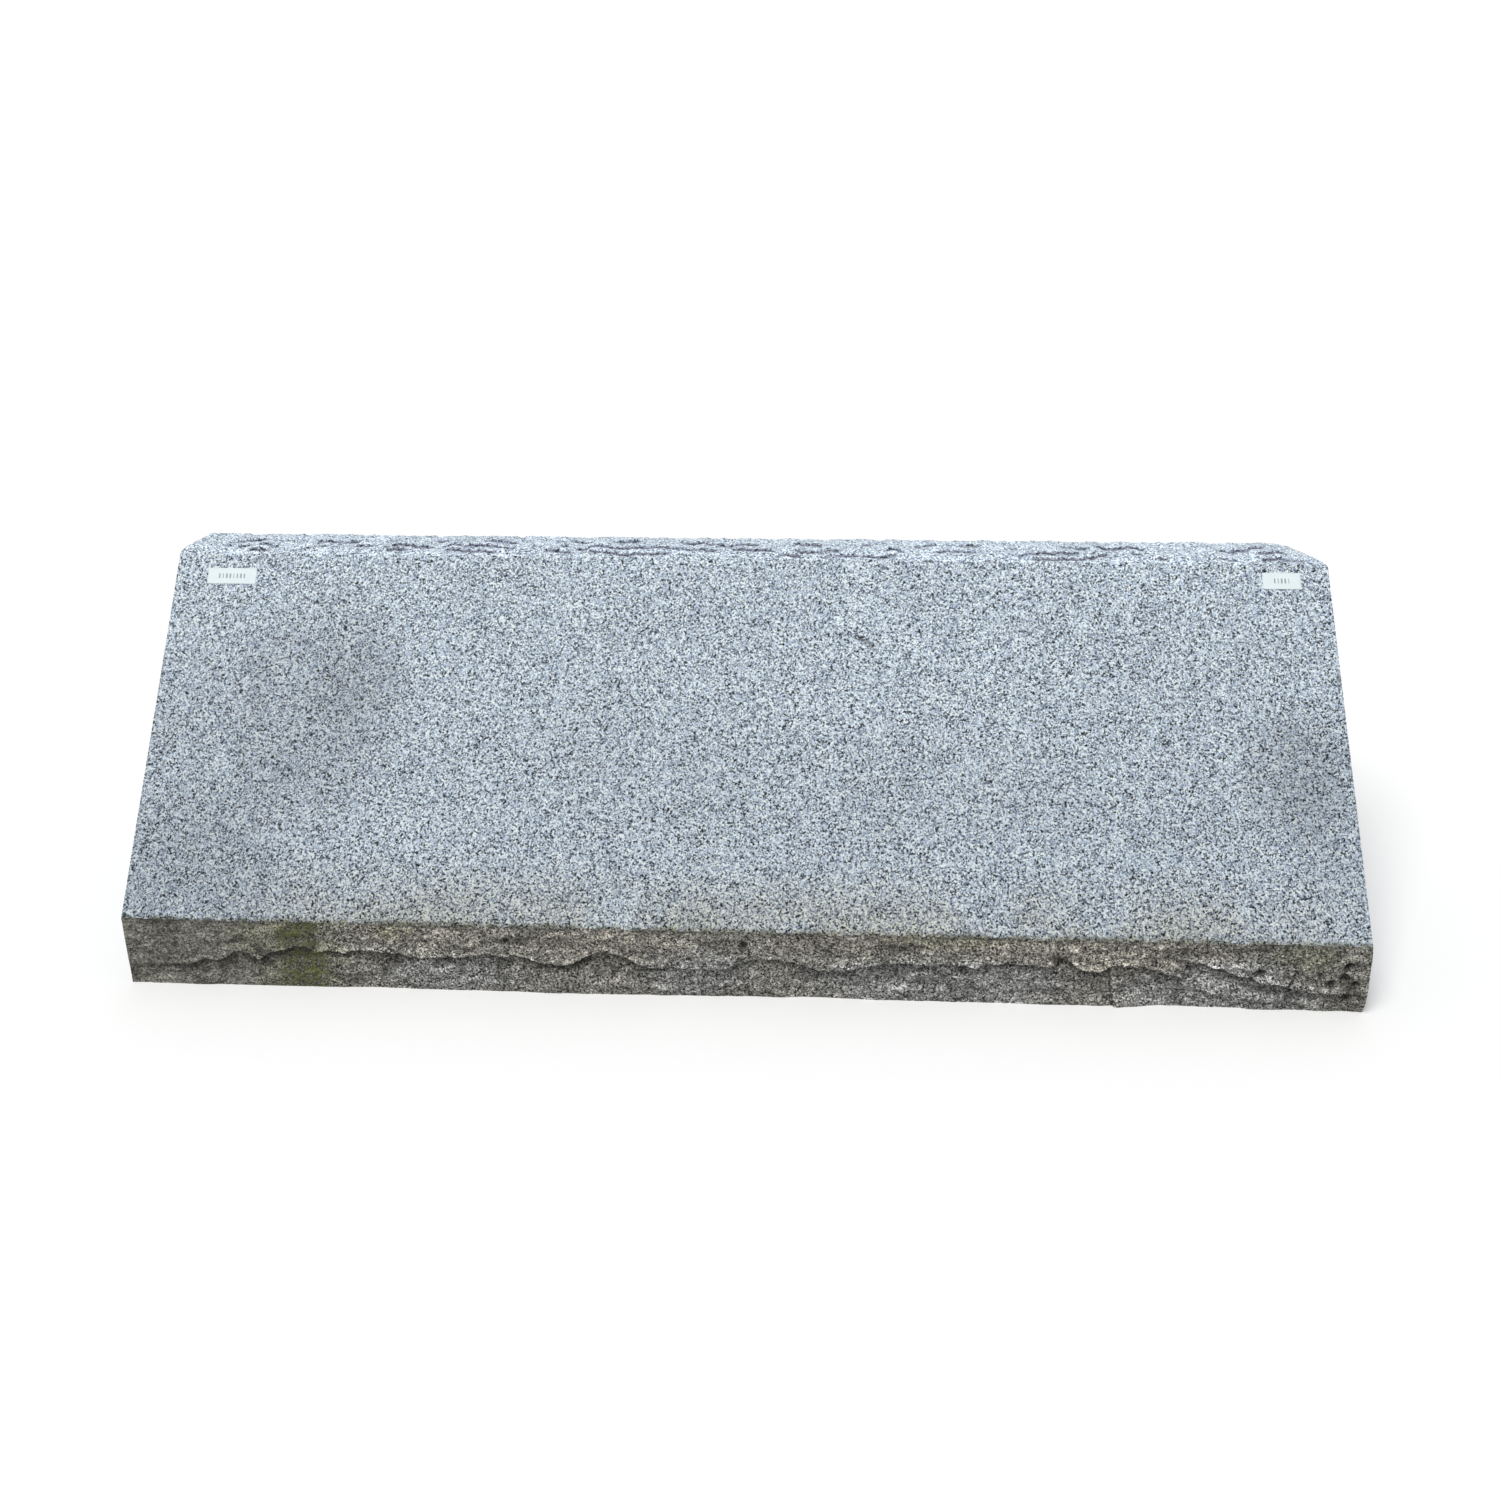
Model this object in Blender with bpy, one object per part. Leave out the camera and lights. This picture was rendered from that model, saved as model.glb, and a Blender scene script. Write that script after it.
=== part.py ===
"""A slant-faced granite block with a paper label near each top corner of its face.

The block is one stone. Its base, back and two ends are sawn flat, its slanted face is flat and
fine-finished, and two surfaces are rock-pitched: the nose, which stands in front below the face,
and the top, which runs from the face back to the sawn back. X runs along the stone, -Y is the
front and +Z is up. The origin is the middle of the stone's outer box, on the base.
"""

import math

import bmesh
import bpy
import numpy as np
from mathutils import Matrix, Vector

# Stone, metres
LENGTH = 1.2192  # along X, 48 in
DEPTH = 0.2794  # along Y, over the swell of the nose, 11 in
HEIGHT = 0.3810  # along Z, over the crown of the top, 15 in
NOSE_HEIGHT = 0.0755  # base to the arris between nose and face
TOP_DEPTH = 0.0660  # arris between face and top, back to the sawn back
NOSE_SWELL = 0.0065  # the proudest point of the nose's ledge, in front of the arris
NOSE_STEP = 0.0045  # how far the stone steps back under the ledge
NOSE_FOOT = 0.0030  # how far the foot of the nose stands in front of the arris, on average
LEDGE_THROAT = 0.0022  # height of the step under the ledge
TOP_CROWN = 0.0010  # the highest point of the top, above its arris
TOP_CREST = 0.22  # where that is, as a share of the way to the back
TOP_FALL = 0.0065  # from the crest down to the back edge
TOP_RISER = 0.0018  # each of the shallow steps in the top
TOP_RISER_PLACES = (0.30, 0.62)  # where they run, as shares of the way to the back
CORNER_REACH = 0.034  # how far along the stone the broken right top corner reaches
CORNER_DROP = 0.0075  # how much it takes off the back edge at the end
ARRIS_CHIP = 0.0030  # how much it takes off the face at the end

# Unevenness of the pitched nose and top
WAVES = ((0.31, 0.40), (0.13, 0.32), (0.062, 0.28))  # pitch along the stone in metres, and weight
WAVE_TURN = 1.7  # radians between the start of one wave and the next
WAVE_LEAN = 3.1  # radians by which a wave shifts across the surface, before its own share
WAVE_LEAN_SHARES = (0.8, 1.3, 1.8)
FOOT_WANDER = 0.7  # of NOSE_FOOT
SCOOP_BULGE = 0.0016  # metres, below the ledge
SWELL_BULGE = 0.0012  # metres, above the ledge
SWELL_EASE = 0.8  # the swell's power: 1 is a straight slope from the ledge up to the arris
CROWN_WANDER = 0.4  # of TOP_CROWN
TOP_ROLL = 0.0010  # metres
RISER_WANDER = 0.07  # share of the way to the back
RISER_TURN = 9.0  # sets each riser's wandering apart from the others'
FOOT_SEED, SCOOP_SEED, SWELL_SEED, CROWN_SEED, ROLL_SEED = 2.2, 5.0, 1.1, 4.0, 3.3

# Paper labels, metres
LABEL_THICKNESS = 0.0005
LABEL_GAP = 0.0003  # clearance between a label and the face
LABEL_HEIGHT = 0.017
LABEL_DROP = 0.0255  # top arris down the face to the middle of the left label
SIZE_LABEL_WIDTH = 0.053
SIZE_LABEL_INSET = 0.061  # left end to the label's middle
STOCK_LABEL_WIDTH = 0.039
STOCK_LABEL_INSET = 0.049  # right end to the label's middle
STOCK_LABEL_RAISE = 0.0065  # how much higher up the face the right label sits

# Mesh fineness
STATION_PITCH = 0.0127  # metres along the stone
SCOOP_ROWS = 4  # nose, below the ledge
SWELL_ROWS = 5  # nose, above the ledge
TOP_ROWS = 8

# Finishes: colour in linear light, roughness
GRANITE = ((0.34, 0.36, 0.39), 0.6)
PAPER = ((0.86, 0.90, 0.90), 0.85)

# The ledge across the nose: share of the length from the left end, share of the nose's height
LEDGE = (
    (0.000, 0.29), (0.030, 0.30), (0.067, 0.37), (0.093, 0.53), (0.110, 0.38), (0.141, 0.62),
    (0.158, 0.54), (0.207, 0.61), (0.250, 0.50), (0.290, 0.57), (0.357, 0.40), (0.398, 0.70),
    (0.443, 0.38), (0.500, 0.45), (0.541, 0.55), (0.582, 0.46), (0.632, 0.61), (0.703, 0.65),
    (0.768, 0.66), (0.790, 0.55), (0.807, 0.65), (0.855, 0.45), (0.869, 0.68), (0.898, 0.54),
    (0.934, 0.38), (0.965, 0.31), (1.000, 0.30),
)
# The swell of the ledge: share of the length, share of NOSE_SWELL
SWELL = (
    (0.00, 0.20), (0.06, 0.45), (0.13, 0.60), (0.20, 0.95), (0.28, 0.60), (0.36, 0.85), (0.42, 1.00),
    (0.50, 0.50), (0.58, 0.75), (0.70, 0.95), (0.78, 0.70), (0.86, 0.60), (0.94, 0.90), (1.00, 0.95),
)

ARRIS_Y = -DEPTH / 2 + NOSE_SWELL
BACK_Y = DEPTH / 2
FACE_TOP = Vector((0.0, BACK_Y - TOP_DEPTH, HEIGHT - TOP_CROWN))
FACE_FOOT = Vector((0.0, ARRIS_Y, NOSE_HEIGHT))
UP_FACE = (FACE_TOP - FACE_FOOT).normalized()
FACE_LENGTH = (FACE_TOP - FACE_FOOT).length
FACE_NORMAL = Vector((1.0, 0.0, 0.0)).cross(UP_FACE)


def eased(x, points):
    """The height at x of the rounded outline through (x, height) points."""
    places, heights = np.array(points).T
    right = np.clip(np.searchsorted(places, x), 1, len(places) - 1)
    share = np.clip((x - places[right - 1]) / (places[right] - places[right - 1]), 0, 1)
    share = share * share * (3 - 2 * share)
    return heights[right - 1] + (heights[right] - heights[right - 1]) * share


def lumps(along, across, seed):
    """Smooth irregular waves between about -1 and 1 over a surface, from a few crossed sines."""
    total = 0.0
    for number, ((pitch, weight), lean_share) in enumerate(zip(WAVES, WAVE_LEAN_SHARES)):
        turn = seed + WAVE_TURN * number + WAVE_LEAN * lean_share * across
        total = total + weight * np.sin(2 * math.pi * along / pitch + turn)
    return total


def nose_rows(along):
    """Heights above the base and distances in front of the nose's arris, row by row, foot first."""
    ledge = eased(along / LENGTH, LEDGE) * NOSE_HEIGHT
    lip = eased(along / LENGTH, SWELL) * NOSE_SWELL
    throat = lip - NOSE_STEP
    foot = NOSE_FOOT * (1 + FOOT_WANDER * lumps(along, 0.0, FOOT_SEED))
    heights, prouds = [], []
    for share in np.linspace(0, 1, SCOOP_ROWS):
        bulge = SCOOP_BULGE * math.sin(math.pi * share) * lumps(along, 2 * share, SCOOP_SEED)
        heights.append(share * (ledge - LEDGE_THROAT))
        prouds.append(foot + (throat - foot) * share + bulge)
    for share in np.linspace(0, 1, SWELL_ROWS):
        bulge = SWELL_BULGE * math.sin(math.pi * share) * lumps(along, 2 * share, SWELL_SEED)
        heights.append(ledge + share * (NOSE_HEIGHT - ledge))
        prouds.append(lip * (1 - share) ** SWELL_EASE + bulge)
    return np.array(heights), np.array(prouds)


def top_rows(along):
    """Distances behind the face's arris and heights above it, row by row, front first."""
    shares = np.linspace(0, 1, TOP_ROWS)[1:]
    crown = 1 - CROWN_WANDER * (1 - lumps(along, 0.0, CROWN_SEED))
    crown = np.clip(shares / TOP_CREST, 0, 1) * crown
    fall = TOP_FALL + len(TOP_RISER_PLACES) * TOP_RISER
    rises = TOP_CROWN * crown - fall * np.clip((shares - TOP_CREST) / (1 - TOP_CREST), 0, 1)
    for place in TOP_RISER_PLACES:
        rises[shares > place + RISER_WANDER * lumps(along, 0.0, RISER_TURN * place)] += TOP_RISER
    roll = TOP_ROLL * np.sin(math.pi * shares) * lumps(along, 3 * shares, ROLL_SEED)
    return shares * TOP_DEPTH, rises + roll


def broken_corner(along):
    """How much of the broken right top corner is gone at a place: 0 where it's whole, 1 at the end."""
    return max(0.0, 1 - (LENGTH - along) / CORNER_REACH) ** 2


def stations():
    """Distances from the left end at which the stone's section is taken."""
    return np.linspace(0, LENGTH, 1 + round(LENGTH / STATION_PITCH))


def sections():
    """The stone's closed sections, left to right, each a list of points round from the front foot."""
    places = stations()
    noses = [nose_rows(along) for along in places]
    tops = [top_rows(along) for along in places]
    to_swell = NOSE_SWELL / max(prouds.max() for _, prouds in noses)
    to_crown = TOP_CROWN / max(rises.max() for _, rises in tops)
    rings = []
    for along, (heights, prouds), (depths, rises) in zip(places, noses, tops):
        x = along - LENGTH / 2
        gone = broken_corner(along)
        arris = FACE_TOP - UP_FACE * (ARRIS_CHIP * gone)
        behind = arris.y + depths * (BACK_Y - arris.y) / TOP_DEPTH
        above = np.where(rises > 0, rises * to_crown, rises) - CORNER_DROP * gone * depths / TOP_DEPTH
        ring = [Vector((x, ARRIS_Y - proud * to_swell, z)) for z, proud in zip(heights, prouds)]
        ring.append(Vector((x, arris.y, arris.z)))
        ring += [Vector((x, y, arris.z + rise)) for y, rise in zip(behind, above)]
        ring.append(Vector((x, BACK_Y, 0.0)))
        rings.append(ring)
    return rings


def material(name, colour, roughness):
    """A plain Principled material that isn't metallic."""
    made = bpy.data.materials.new(name)
    made.use_nodes = True
    shader = made.node_tree.nodes["Principled BSDF"]
    shader.inputs["Base Color"].default_value = (*colour, 1.0)
    shader.inputs["Roughness"].default_value = roughness
    shader.inputs["Metallic"].default_value = 0.0
    return made


def add_object(name, bm, finish):
    """Links the bmesh to the scene as one object, its faces pointing out."""
    bmesh.ops.recalc_face_normals(bm, faces=bm.faces)
    mesh = bpy.data.meshes.new(name)
    bm.to_mesh(mesh)
    bm.free()
    mesh.materials.append(finish)
    made = bpy.data.objects.new(name, mesh)
    bpy.context.scene.collection.objects.link(made)
    return made


def granite_slab():
    """The stone: sections joined by strips of faces, closed by a flat sawn face at each end."""
    bm = bmesh.new()
    rings = [[bm.verts.new(point) for point in ring] for ring in sections()]
    for left, right in zip(rings, rings[1:]):
        for i in range(len(left)):
            j = (i + 1) % len(left)
            bm.faces.new((left[i], left[j], right[j], right[i]))
    bm.faces.new(rings[0])
    bm.faces.new(rings[-1])
    return add_object("granite_slab", bm, material("granite", *GRANITE))


def paper_label(name, width, middle_x, middle_drop, finish):
    """A thin rectangle of paper lying on the face, its middle that far down from the top arris."""
    bm = bmesh.new()
    bmesh.ops.create_cube(bm, size=1.0)
    bmesh.ops.scale(bm, vec=(width, LABEL_HEIGHT, LABEL_THICKNESS), verts=bm.verts)
    made = add_object(name, bm, finish)
    place = FACE_TOP - UP_FACE * middle_drop + FACE_NORMAL * (LABEL_GAP + LABEL_THICKNESS / 2)
    place.x = middle_x
    turn = Matrix((Vector((1, 0, 0)), UP_FACE, FACE_NORMAL)).transposed().to_4x4()
    made.matrix_world = Matrix.Translation(place) @ turn
    return made


def main():
    """Clears the scene and builds the stone and its two labels."""
    for old in list(bpy.data.objects):
        bpy.data.objects.remove(old, do_unlink=True)
    granite_slab()
    paper = material("label_paper", *PAPER)
    left_x = -LENGTH / 2 + SIZE_LABEL_INSET
    right_x = LENGTH / 2 - STOCK_LABEL_INSET
    paper_label("size_label", SIZE_LABEL_WIDTH, left_x, LABEL_DROP, paper)
    paper_label("stock_label", STOCK_LABEL_WIDTH, right_x, LABEL_DROP - STOCK_LABEL_RAISE, paper)


main()
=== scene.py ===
"""Looks for a slant-faced block of grey granite with two paper labels on its face.

The stone's flat face leans back from a low rock-pitched nose to a rock-pitched top. Its ends, back
and base are sawn. X runs along the stone, -Y is the front and +Z is up.
"""

import logging
import math
from dataclasses import dataclass, field
from enum import IntEnum

import bmesh
import bpy
import numpy as np
from mathutils import Matrix, Vector

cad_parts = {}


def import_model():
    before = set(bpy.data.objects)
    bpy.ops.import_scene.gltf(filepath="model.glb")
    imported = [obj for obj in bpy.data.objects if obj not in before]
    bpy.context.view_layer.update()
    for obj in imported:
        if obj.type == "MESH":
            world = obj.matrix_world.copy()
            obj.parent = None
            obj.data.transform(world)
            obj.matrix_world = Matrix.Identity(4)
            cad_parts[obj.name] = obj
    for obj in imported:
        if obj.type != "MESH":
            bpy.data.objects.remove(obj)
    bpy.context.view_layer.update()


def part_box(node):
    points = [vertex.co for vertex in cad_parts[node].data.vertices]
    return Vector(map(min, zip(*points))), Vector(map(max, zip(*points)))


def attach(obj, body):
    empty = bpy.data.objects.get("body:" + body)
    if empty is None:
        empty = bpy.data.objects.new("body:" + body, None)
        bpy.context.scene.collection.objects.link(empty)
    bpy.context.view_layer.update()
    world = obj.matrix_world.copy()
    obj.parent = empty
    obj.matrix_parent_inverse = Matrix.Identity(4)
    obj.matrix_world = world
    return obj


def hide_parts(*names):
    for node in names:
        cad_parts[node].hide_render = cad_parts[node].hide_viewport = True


log = logging.getLogger("granite")

Colour = tuple[float, float, float]
Point = tuple[float, float]
Spots = tuple[tuple[float, ...], ...]

LATTICE = 4096  # values in a wandering line before it repeats


class Skin(IntEnum):
    """The surfaces of the stone, in the order of their finishes."""

    FACE = 0
    NOSE = 1
    TOP = 2
    SAWN = 3


# ---------------------------------------------------------------- small helpers


def linear(red: int, green: int, blue: int) -> Colour:
    """The scene colour of a paint-box colour.

    Args:
        red, green, blue: the display colour, 0 to 255.

    Returns:
        The same colour in linear light.
    """
    shares = (value / 255 for value in (red, green, blue))
    return tuple(s / 12.92 if s <= 0.04045 else ((s + 0.055) / 1.055) ** 2.4 for s in shares)


def through(along: np.ndarray, points: tuple[Point, ...]) -> np.ndarray:
    """The heights at some places of the straight-sided outline through (place, height) points."""
    places, heights = np.array(points).T
    return np.interp(along, places, heights)


def climb(value: np.ndarray, start: np.ndarray | float, end: np.ndarray | float) -> np.ndarray:
    """0 before start, 1 after end and straight between them. The end may be below the start."""
    return np.clip((value - start) / (end - start), 0, 1)


def fading(distance: np.ndarray, reach: float) -> np.ndarray:
    """1 where there's no distance, then dying away over this reach."""
    return np.exp(-np.clip(distance, 0, 1) / reach)


@dataclass(frozen=True)
class Waves:
    """Smooth seeded unevenness along the stone, the same on every run."""

    height: float
    pitch: float
    seed: int
    octaves: int = 4

    def at(self, along: np.ndarray, turn: int = 0) -> np.ndarray:
        """The unevenness at some places.

        Args:
            along: the places, in metres.
            turn: picks another wandering of the same kind.

        Returns:
            Values between about minus and plus the height, one for each place.
        """
        total, weight = np.zeros_like(along), 0.0
        for octave in range(self.octaves):
            rng = np.random.default_rng(100 * (self.seed + turn) + octave)
            lattice = rng.uniform(-1, 1, LATTICE)
            place = (along + 2.0) / self.pitch * 2**octave
            cell = np.floor(place).astype(int)
            share = place - cell
            share = share * share * (3 - 2 * share)
            low, high = lattice[cell % LATTICE], lattice[(cell + 1) % LATTICE]
            total += (low + (high - low) * share) / 2**octave
            weight += 0.7 / 2**octave
        return self.height * (total / weight)


@dataclass(frozen=True)
class Chips:
    """Small seeded chips out of an arris."""

    seed: int
    deepest: float
    count: int
    widest: float

    def at(self, x: np.ndarray, half_length: float) -> np.ndarray:
        """How far the arris is chipped away.

        Args:
            x: places along the stone.
            half_length: how far to each side the chips are spread.

        Returns:
            The depth at each place.
        """
        rng = np.random.default_rng(self.seed)
        total = np.zeros_like(x)
        for _ in range(self.count):
            middle = rng.uniform(-half_length, half_length)
            wide = self.widest * rng.uniform(0.25, 1.0)
            deep = self.deepest * rng.uniform(0.2, 1.0) ** 1.5
            total = np.maximum(total, deep * np.clip(1 - ((x - middle) / wide) ** 2, 0, 1) ** 0.7)
        return total


# ---------------------------------------------------------------- shader and node helpers


class Tone:
    """A socket of a node tree, whose arithmetic adds Math nodes."""

    def __init__(self, bench: "Bench", socket: bpy.types.NodeSocket) -> None:
        """Wraps the socket of a node on the bench."""
        self.bench = bench
        self.socket = socket

    def _math(self, operation: str, *values: "Tone | float", clamp: bool = False) -> "Tone":
        """The result of one Math node on these values, in order."""
        settings = {"operation": operation, "use_clamp": clamp}
        return self.bench.tone("ShaderNodeMath", settings, dict(enumerate(values)))

    def __add__(self, other: "Tone | float") -> "Tone":
        """This plus the other."""
        return self._math("ADD", self, other)

    __radd__ = __add__

    def __sub__(self, other: "Tone | float") -> "Tone":
        """This less the other."""
        return self._math("SUBTRACT", self, other)

    def __rsub__(self, other: float) -> "Tone":
        """The other less this."""
        return self._math("SUBTRACT", other, self)

    def __mul__(self, other: "Tone | float") -> "Tone":
        """This times the other."""
        return self._math("MULTIPLY", self, other)

    __rmul__ = __mul__

    def __truediv__(self, other: "Tone | float") -> "Tone":
        """This divided by the other."""
        return self._math("DIVIDE", self, other)

    def __rtruediv__(self, other: float) -> "Tone":
        """The other divided by this."""
        return self._math("DIVIDE", other, self)

    def __abs__(self) -> "Tone":
        """This without its sign."""
        return self._math("ABSOLUTE", self)

    def floored(self) -> "Tone":
        """The whole number at or below this."""
        return self._math("FLOOR", self)

    def sine(self) -> "Tone":
        """The sine of this."""
        return self._math("SINE", self)

    def clamped(self) -> "Tone":
        """This, kept between 0 and 1."""
        return self._math("ADD", self, 0.0, clamp=True)

    def at_least(self, other: "Tone | float") -> "Tone":
        """The greater of the two."""
        return self._math("MAXIMUM", self, other)

    def past(self, start: float, end: float) -> "Tone":
        """0 before start, 1 after end and smooth between them.

        Args:
            start: where it is still 0.
            end: where it has reached 1. It may be below start.

        Returns:
            The eased share.
        """
        sockets = {"Value": self, "From Min": start, "From Max": end, "To Min": 0.0, "To Max": 1.0}
        settings = {"interpolation_type": "SMOOTHSTEP"}
        return self.bench.tone("ShaderNodeMapRange", settings, sockets)


class Bench:
    """A node tree and what is made in any of them."""

    def __init__(self, tree: bpy.types.NodeTree) -> None:
        """Starts work in this tree."""
        self.tree = tree

    def node(self, kind: str, settings: dict | None = None, sockets: dict | None = None) -> bpy.types.Node:
        """Adds a node.

        Args:
            kind: the node's type.
            settings: its own settings, which are made first; "stops" are a ramp's (place, colour).
            sockets: a value or a Tone for each input, by name or number.

        Returns:
            The node.
        """
        made = self.tree.nodes.new(kind)
        for key, value in (settings or {}).items():
            if key == "stops":
                while len(made.color_ramp.elements) < len(value):
                    made.color_ramp.elements.new(0.5)
                for element, (place, colour) in zip(made.color_ramp.elements, value):
                    element.position = place
                    element.color = (*colour, 1.0)
            else:
                setattr(made, key, value)
        for key, value in (sockets or {}).items():
            if isinstance(value, Tone):
                self.tree.links.new(value.socket, made.inputs[key])
            else:
                made.inputs[key].default_value = value
        return made

    def tone(
        self, kind: str, settings: dict | None = None, sockets: dict | None = None, output: int | str = 0
    ) -> Tone:
        """One output of a new node, ready for arithmetic."""
        return Tone(self, self.node(kind, settings, sockets).outputs[output])

    def moved(self, point: Tone, by: Tone | tuple[float, float, float]) -> Tone:
        """The point, moved."""
        return self.tone("ShaderNodeVectorMath", {"operation": "ADD"}, {0: point, 1: by})

    def stretched(self, point: Tone, by: tuple[float, float, float]) -> Tone:
        """The point, with each of its numbers multiplied."""
        return self.tone("ShaderNodeVectorMath", {"operation": "MULTIPLY"}, {0: point, 1: by})

    def dimmed(self, colour: Tone | Colour, by: Tone | float) -> Tone:
        """The colour or vector times a number."""
        return self.tone("ShaderNodeVectorMath", {"operation": "SCALE"}, {0: colour, "Scale": by})


class FinishBench(Bench):
    """The node tree of a material with one Principled shader."""

    def __init__(self, name: str) -> None:
        """Starts the material.

        Args:
            name: the material's name.
        """
        self.material = bpy.data.materials.new(name)
        self.material.use_nodes = True
        super().__init__(self.material.node_tree)
        self.shader = self.tree.nodes["Principled BSDF"]

    def here(self) -> Tone:
        """The point being shaded, in the part's own frame."""
        return self.tone("ShaderNodeTexCoord", output="Object")

    def apart(self, point: Tone) -> tuple[Tone, Tone, Tone]:
        """The three numbers of a point."""
        split = self.node("ShaderNodeSeparateXYZ", sockets={0: point})
        return tuple(Tone(self, out) for out in split.outputs)

    def stirred(self, point: Tone, pitch: float, reach: float) -> Tone:
        """The point, pushed about by noise.

        Args:
            point: where it's read.
            pitch: the noise's largest waves, in metres.
            reach: how far it pushes, in metres.

        Returns:
            The stirred point, in which straight patterns bend.
        """
        sockets = {"Vector": point, "Scale": 1 / pitch, "Detail": 1.0}
        push = self.tone("ShaderNodeTexNoise", sockets=sockets, output="Color")
        return self.moved(point, self.dimmed(self.moved(push, (-0.5, -0.5, -0.5)), reach))

    def noise(self, point: Tone, pitch: float, detail: float = 2.0, rough: float = 0.5) -> Tone:
        """Noise between 0 and 1.

        Args:
            point: where it's read.
            pitch: its largest waves, in metres.
            detail: how many finer waves it has.
            rough: how strong they are.

        Returns:
            The noise's value.
        """
        sockets = {"Vector": point, "Scale": 1 / pitch, "Detail": detail, "Roughness": rough}
        return self.tone("ShaderNodeTexNoise", sockets=sockets)

    def cells(self, point: Tone, size: float) -> tuple[Tone, Tone, Tone]:
        """Crystals of about one size.

        Args:
            point: where they're read.
            size: the size.

        Returns:
            Three random numbers between 0 and 1, the same all over a crystal.
        """
        sockets = {"Vector": point, "Scale": 1 / size, "Randomness": 1.0}
        colour = self.tone("ShaderNodeTexVoronoi", sockets=sockets, output="Color")
        split = self.node("ShaderNodeSeparateColor", sockets={0: colour})
        return tuple(Tone(self, out) for out in split.outputs)

    def ramp(self, value: Tone, stops: tuple[tuple[float, Colour], ...]) -> Tone:
        """The colour on a ramp."""
        return self.tone("ShaderNodeValToRGB", {"stops": stops}, {0: value})

    def mix(
        self, share: Tone | float, first: Tone | Colour, second: Tone | Colour, blend: str = "MIX"
    ) -> Tone:
        """Two colours mixed.

        Args:
            share: how much of the second there is.
            first, second: the colours.
            blend: how they mix.

        Returns:
            The mixed colour.
        """
        pair = [c if isinstance(c, Tone) else (*c, 1.0) for c in (first, second)]
        settings = {"data_type": "RGBA", "blend_type": blend, "clamp_factor": True}
        return self.tone("ShaderNodeMix", settings, {0: share, 6: pair[0], 7: pair[1]}, 2)

    def spot(self, across: Tone, up: Tone, middle: Point, reach: Point, edge: float = 1.0) -> Tone:
        """A soft oval spot.

        Args:
            across, up: the two distances it's drawn in.
            middle: its middle.
            reach: its half width and half height.
            edge: how much of its reach fades out.

        Returns:
            1 in its middle and 0 outside it.
        """
        wide = (across - middle[0]) / reach[0]
        high = (up - middle[1]) / reach[1]
        return (wide * wide + high * high).past(1.0, 1.0 - edge)

    def carried(self, name: str) -> Tone:
        """A number that the mesh carries under this name."""
        return self.tone("ShaderNodeAttribute", {"attribute_name": name}, output="Fac")

    def bump(self, height: Tone, distance: float, strength: float = 1.0) -> Tone:
        """The normal of a surface with this height, in units of the distance."""
        sockets = {"Height": height, "Distance": distance, "Strength": strength}
        return self.tone("ShaderNodeBump", sockets=sockets, output="Normal")

    def finish(self, colour: Tone, roughness: Tone | float, normal: Tone | None = None) -> bpy.types.Material:
        """Joins the material's values to its shader.

        Args:
            colour, roughness, normal: the values, or none to leave one as it is.

        Returns:
            The finished material.
        """
        wanted = {"Base Color": colour, "Roughness": roughness, "Normal": normal}
        for name, value in wanted.items():
            if isinstance(value, Tone):
                self.tree.links.new(value.socket, self.shader.inputs[name])
            elif value is not None:
                self.shader.inputs[name].default_value = value
        return self.material


# ---------------------------------------------------------------- the stone's shape


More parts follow.
